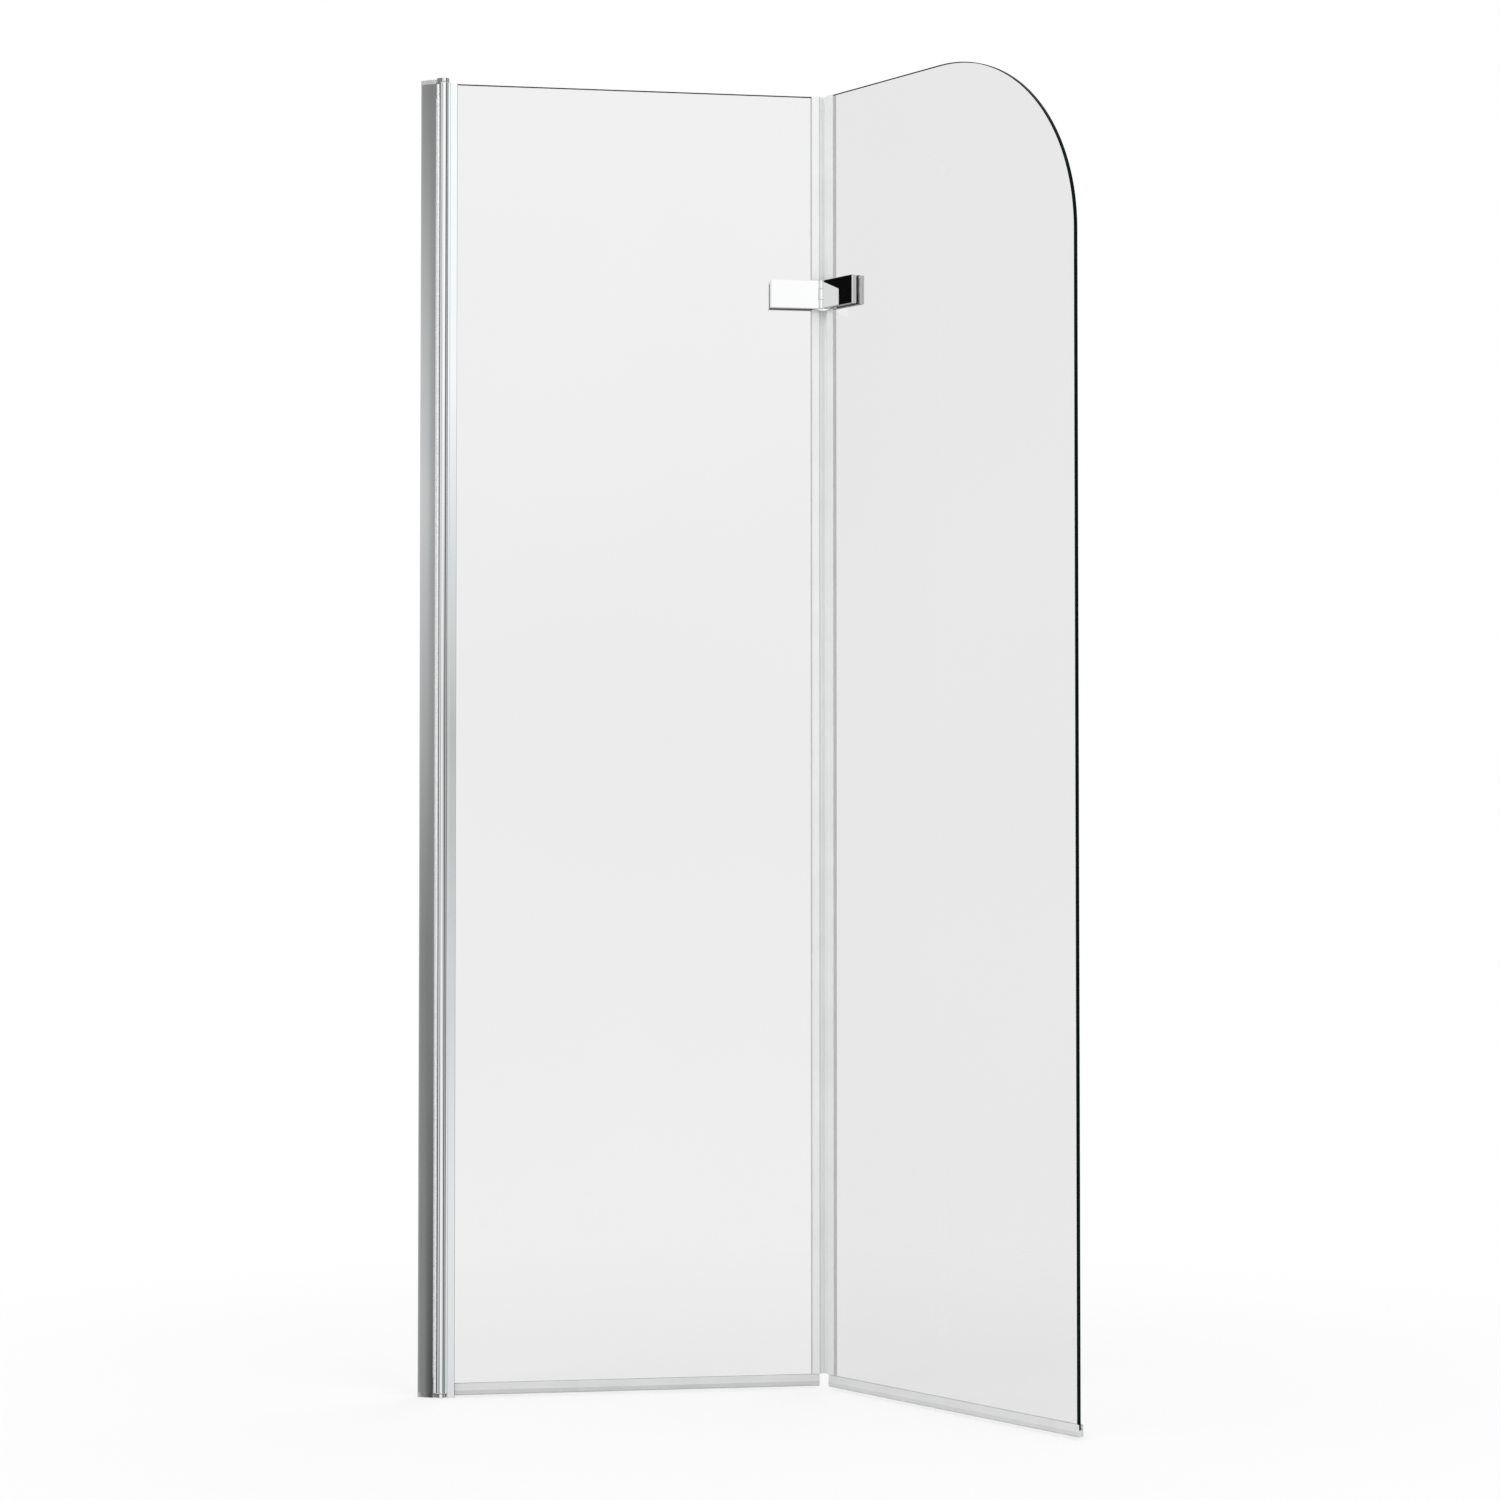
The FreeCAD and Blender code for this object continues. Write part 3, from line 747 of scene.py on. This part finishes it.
def dripLoops():
    half, low = drip["half"], -drip["drop"]
    seat = (pane["back"] - pane["front"]) / 2 + drip["air"]
    tip = half - drip["tipTaper"]
    cut = drip["bulbCut"]
    bow = drip["bulbRound"] * cut
    neck = drip["flange"] - drip["tipHeight"]
    outline = [
        (-tip, drip["flange"]),
        (-seat, drip["flange"]),
        (-seat, neck),
        (-seat, -drip["air"]),
        (seat, -drip["air"]),
        (seat, neck),
        (seat, drip["flange"]),
        (tip, drip["flange"]),
        (tip, neck),
        (half, -drip["floor"]),
        (half, low + cut),
        (half - bow, low + bow),
        (half - cut, low),
        (cut - half, low),
        (bow - half, low + bow),
        (-half, low + cut),
        (-half, -drip["floor"]),
        (-tip, neck),
    ]
    return [outline]


def addDrip(name, reach, place, tones, node, body):
    start, stop = reach
    spot = place @ Matrix.Translation((start, drip["middle"], pane["foot"])) @ lengthwise

    # painted shade: the bulb and its bottom edge are darker than the clip
    def toneAt(point):
        clip, bulb, line = tones
        if point.y < drip["line"] - drip["drop"]:
            return line
        return bulb if point.y < -drip["floor"] else clip

    mesh = stripMesh(dripLoops(), stop - start, drip["corner"], spot, tones, toneAt)
    piece = addPiece(name, mesh, [node], body)
    piece.visible_glossy = False   # the outer pane mirrors no second seal


innerTones, outerTones = [innerDripShade, innerBulbShade, bulbFootShade], [outerDripShade, outerBulbShade, bulbFootShade]
addDrip("innerDripSeal", drip["inner"], innerPlace, innerTones, "inner_drip_seal", "inner_panel")
addDrip("outerDripSeal", drip["outer"], outerPlace, outerTones, "outer_drip_seal", "outer_panel")
print("drip seals done")


# screws with a hexagon socket: two through each back plate, and one in each end cap

screwEdge = {
    "rim": 0.15,   # head's bevel across
    "bevel": 0.12,   # and down, and at the socket's mouth
    "land": 0.03,
    "floor": 0.9,   # the socket narrows to this share at its floor
    "point": 0.5,
    "steps": 36,
    "sharp": 25.0,
}
hingeScrew = {
    "faceDepth": 20.0,
    "headRadius": 4.5,
    "headHeight": 2.0,
    "shankRadius": 2.5,
    "length": 17.7,
    "socketFlats": 3.0,
    "socketDepth": 1.6,
    "count": 2,
    "spacing": 24.0,
    "first": 17.0,
}
capScrew = {
    "headRadius": 3.0,
    "headHeight": 1.5,
    "shankRadius": 1.5,
    "length": 16.0,
    "socketFlats": 2.0,
    "socketDepth": 1.0,
}


def screwMesh(sizes):
    flat = sizes["socketFlats"] / 2
    rim, bevel, point = screwEdge["rim"], screwEdge["bevel"], screwEdge["point"]
    steps = screwEdge["steps"]
    sixth = math.pi / 3

    def ring(radius, depth, hexagonal=False):
        loop = []
        for i in range(steps):
            a = 2 * math.pi * i / steps
            offFlat = (a + sixth / 2) % sixth - sixth / 2
            r = radius / math.cos(offFlat) if hexagonal else radius
            loop.append((r * math.cos(a), -depth, r * math.sin(a)))
        return loop

    rings = [
        ring(flat * screwEdge["floor"], sizes["socketDepth"], True),
        ring(flat, sizes["socketDepth"] - rim, True),
        ring(flat, bevel, True),
        ring(flat + bevel, 0.0, True),
        ring(sizes["headRadius"] - rim, 0.0),
        ring(sizes["headRadius"] - screwEdge["land"], bevel),
        ring(sizes["shankRadius"], sizes["headHeight"]),
        ring(sizes["shankRadius"], sizes["length"] - point),
        ring(sizes["shankRadius"] - point, sizes["length"]),
    ]
    built = bmesh.new()
    made = [[built.verts.new(p) for p in loop] for loop in rings]
    for near, far in zip(made, made[1:]):
        for i in range(steps):
            j = (i + 1) % steps
            built.faces.new((near[i], near[j], far[j], far[i]))
    built.faces.new(made[0])
    built.faces.new(made[-1])
    mesh = bpy.data.meshes.new("screw")
    built.to_mesh(mesh)
    built.free()
    return mesh


screwRow = rowTree()


def addHingeScrews(name, side, place, node, body):
    source = bpy.data.objects.new("screw", screwMesh(hingeScrew))
    values = {
        "Count": hingeScrew["count"],
        "Spacing": side * hingeScrew["spacing"],
        "Finish": screwSteel,
    }
    mesh = meshFromTree(source, screwRow, values)
    first = (side * hingeScrew["first"], hingeScrew["faceDepth"], pane["holeHeight"])
    mesh.transform(place @ Matrix.Translation(first))
    settleMesh(mesh, screwEdge["sharp"])
    addPiece(name, mesh, [node], body)


def addCapScrews(name, node, body):
    low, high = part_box(node)
    across = (low[0] + high[0]) / 2
    built = bmesh.new()
    for height, tilt in ((high[2], 90.0), (low[2], -90.0)):
        one = screwMesh(capScrew)
        turned = Matrix.Rotation(math.radians(tilt), 4, "X") @ Matrix.Scale(mm, 4)
        one.transform(Matrix.Translation((across, 0, height)) @ turned)
        built.from_mesh(one)
    mesh = bpy.data.meshes.new(name)
    built.to_mesh(mesh)
    built.free()
    mesh.materials.append(screwSteel)
    settleMesh(mesh, screwEdge["sharp"])
    addPiece(name, mesh, [node], body)


addHingeScrews("innerHingeScrews", -1, innerPlace, "inner_hinge_screws", "inner_panel")
addHingeScrews("outerHingeScrews", 1, outerPlace, "outer_hinge_screws", "outer_panel")
addCapScrews("capScrews", "cap_screws", "wall_profile")
print("screws done")


# studio: white room, with a darker side that the mirror finishes pick up

studio = {
    "floorHeight": -0.7005,
    "floorRadius": 3.0,
    "floorSteps": 96,
    "floorMiddle": (0.36, 0.1),
    "ambient": 0.55,
    "riseSpan": 30.0,   # degrees of height that boxRise and sheetRise cover
    "darkCard": 0.21,   # low card between the side box and the front sheet
    "cardFade": (0.008, 0.035),
    "cardDepth": 0.85,
    "behindFade": (0.68, 0.74),   # the room behind the screen is darker low down
    "behindDepth": 0.75,
    "lowFade": (0.2, 0.42),
    "ceilingFade": (0.35, 0.75),
    "groundFade": (-0.75, -0.35),
    "groundLevel": 0.7,
    "floorPaint": 0.9,
    "shadowFade": (0.5, 1.3),   # metres from the middle, where the shadow fades out
    "shadowShare": 0.3,
    "lamps": {
        "keyLamp": {"place": (-1.6, -2.6, 2.6), "size": 2.4, "power": 60.0},
        "fillLamp": {"place": (2.8, -1.6, 1.8), "size": 2.2, "power": 35.0},
        "backLamp": {"place": (0.6, 2.8, 2.4), "size": 2.4, "power": 35.0},
    },
    "aim": (0.36, 0.1, 0.0),
}
# by share of a turn from -X by way of -Y:
# plain brightness, share of the side box, share of the front sheet
roomRing = [
    (0.0, (0.004, 0, 0)),
    (0.05, (0.004, 0, 0)),
    (0.072, (0.8, 0, 0)),
    (0.141, (0.9, 0, 0)),
    (0.16, (0.02, 0.95, 0)),
    (0.18, (0.0, 0.9, 0)),
    (0.199, (0.16, 0.3, 0)),
    (0.208, (0.95, 0, 0)),
    (0.305, (1.0, 0, 0)),
    (0.33, (0, 0, 1)),
    (0.415, (0, 0, 1)),
    (0.43, (0.1, 0, 0)),
    (0.49, (0.12, 0, 0)),
    (0.512, (0.55, 0, 0)),
    (0.545, (0.55, 0, 0)),
    (0.57, (0.08, 1.0, 0)),
    (0.68, (0.12, 1.0, 0)),
    (0.72, (0.9, 0, 0)),
    (0.94, (1, 0, 0)),
    (0.975, (0.3, 0, 0)),
    (1.0, (0.004, 0, 0)),
]
boxRise = [   # brightness of the side box from 15 degrees below level to 15 above
    (0.2, grey(0.25)),
    (0.45, grey(0.26)),
    (0.7, grey(0.68)),
    (0.8, grey(0.55)),
    (0.93, grey(0.28)),
]
sheetRise = [   # the same for the front sheet
    (0.1, grey(0.8)),
    (0.3, grey(0.9)),
    (0.56, grey(0.56)),
    (0.77, grey(1.1)),
    (1.0, grey(1.15)),
]


def fadeOver(board, value, edge, first, last):
    values = {"Value": value, 1: edge[0], 2: edge[1], 3: first, 4: last}
    return board.make("ShaderNodeMapRange", {}, values)


def buildRoom():
    white = (1, 1, 1, 1)
    world = bpy.data.worlds.new("studioRoom")
    world.use_nodes = True
    scene.world = world
    board = Board(world.node_tree)
    path = board.make("ShaderNodeLightPath", out="Glossy Depth")
    aim = board.make("ShaderNodeTexCoord", out="Generated")
    parts = board.make("ShaderNodeSeparateXYZ", {}, {"Vector": aim})
    height = parts.pick("Z")
    flat = {0: parts.pick("Y"), 1: parts.pick("X")}
    turn = board.make("ShaderNodeMath", {"operation": "ARCTAN2"}, flat)
    slope = board.make("ShaderNodeMath", {"operation": "ARCSINE"}, {0: height})
    rise = slope * (1 / math.radians(studio["riseSpan"])) + 0.5
    around = turn * (0.5 / math.pi) + 0.5
    ring = board.make("ShaderNodeValToRGB", {"stops": roomRing}, {"Fac": around})
    share = board.make("ShaderNodeSeparateColor", {}, {"Color": ring})
    box = board.make("ShaderNodeValToRGB", {"stops": boxRise}, {"Fac": rise})
    sheet = board.make("ShaderNodeValToRGB", {"stops": sheetRise}, {"Fac": rise})
    beside = board.make("ShaderNodeMath", {"operation": "ABSOLUTE"}, {0: around - studio["darkCard"]})
    near = fadeOver(board, beside, studio["cardFade"], studio["cardDepth"], 0.0)
    low = fadeOver(board, rise, studio["lowFade"], 1.0, 0.0)
    behind = fadeOver(board, around, studio["behindFade"], 0.0, studio["behindDepth"])
    wall = (share + box * share.pick("Green")) * (1 - near * low) * (1 - behind * low)
    level = wall + sheet * share.pick("Blue")
    groundLevel = studio["groundLevel"]
    ceiling = fadeOver(board, height, studio["ceilingFade"], 0.0, 1.0)
    ground = fadeOver(board, height, studio["groundFade"], groundLevel, 0.0)
    level = level * (1 - ceiling) * (1 - ground) + ceiling + ground * groundLevel
    mirrored = board.make("ShaderNodeBackground", {}, {"Color": white, "Strength": level})
    plain = board.make("ShaderNodeBackground", {}, {"Color": white, "Strength": 1.0})
    soft = board.make("ShaderNodeBackground", {}, {"Color": white, "Strength": studio["ambient"]})
    seen = board.make("ShaderNodeMixShader", {}, {0: path > 0.5, 1: plain, 2: mirrored})
    bounced = path.pick("Diffuse Depth") > 0.5
    room = board.make("ShaderNodeMixShader", {}, {0: bounced, 1: seen, 2: soft})
    board.make("ShaderNodeOutputWorld", {}, {"Surface": room})


def buildFloor():
    built = bmesh.new()
    steps, radius = studio["floorSteps"], studio["floorRadius"]
    bmesh.ops.create_circle(built, cap_ends=True, segments=steps, radius=radius)
    mesh = bpy.data.meshes.new("studioFloor")
    built.to_mesh(mesh)
    built.free()
    middle = (*studio["floorMiddle"], studio["floorHeight"])
    mesh.transform(Matrix.Translation(middle))
    finish = bpy.data.materials.new("paleFloor")
    finish.use_nodes = True
    board = Board(finish.node_tree)
    spot = board.make("ShaderNodeTexCoord", out="Object")
    away = board.make(
        "ShaderNodeVectorMath",
        {"operation": "DISTANCE"},
        {0: spot, 1: middle},
        out="Value",
    )
    near = fadeOver(board, away, studio["shadowFade"], studio["shadowShare"], 0.0)
    path = board.make("ShaderNodeLightPath", out="Glossy Depth")
    paint = board.make("ShaderNodeBsdfDiffuse", {}, {"Color": (*grey(studio["floorPaint"]), 1)})
    white = board.make("ShaderNodeEmission", {}, {"Color": (1, 1, 1, 1), "Strength": 1.0})
    shown = board.make("ShaderNodeMixShader", {}, {0: near, 1: white, 2: paint})
    bounced = path.pick("Diffuse Depth") > 0.5
    surface = board.make("ShaderNodeMixShader", {}, {0: bounced, 1: shown, 2: paint})
    clear = board.make("ShaderNodeBsdfTransparent")   # mirrors show the room instead
    surface = board.make("ShaderNodeMixShader", {}, {0: path > 0.5, 1: surface, 2: clear})
    board.make("ShaderNodeOutputMaterial", {}, {"Surface": surface})
    mesh.materials.append(finish)
    floor = bpy.data.objects.new("studioFloor", mesh)
    scene.collection.objects.link(floor)


def buildLamps():
    for name, lamp in studio["lamps"].items():
        light = bpy.data.lights.new(name, "AREA")
        light.size = lamp["size"]
        light.energy = lamp["power"]
        holder = bpy.data.objects.new(name, light)
        holder.location = lamp["place"]
        towards = Vector(studio["aim"]) - holder.location
        holder.rotation_euler = towards.to_track_quat("-Z", "Y").to_euler()
        holder.visible_glossy = False
        holder.visible_transmission = False
        scene.collection.objects.link(holder)


shot = {
    "place": (1.56476, -3.10577, -0.11281),
    "side": (-0.3582, 0.9337),
    "pitch": 1.593,   # degrees upwards
    "lens": 78.12,
    "sensor": 36.0,
}


def buildCamera():
    pitch = math.radians(shot["pitch"])
    x, y = shot["side"]
    forward = Vector((x * math.cos(pitch), y * math.cos(pitch), math.sin(pitch)))
    lens = bpy.data.cameras.new("shot")
    lens.lens = shot["lens"]
    lens.sensor_width = shot["sensor"]
    camera = bpy.data.objects.new("shot", lens)
    camera.location = shot["place"]
    camera.rotation_euler = forward.to_track_quat("-Z", "Y").to_euler()
    scene.collection.objects.link(camera)
    scene.camera = camera


buildRoom()
buildFloor()
buildLamps()
buildCamera()
scene.view_settings.view_transform = "Standard"
print("studio done")
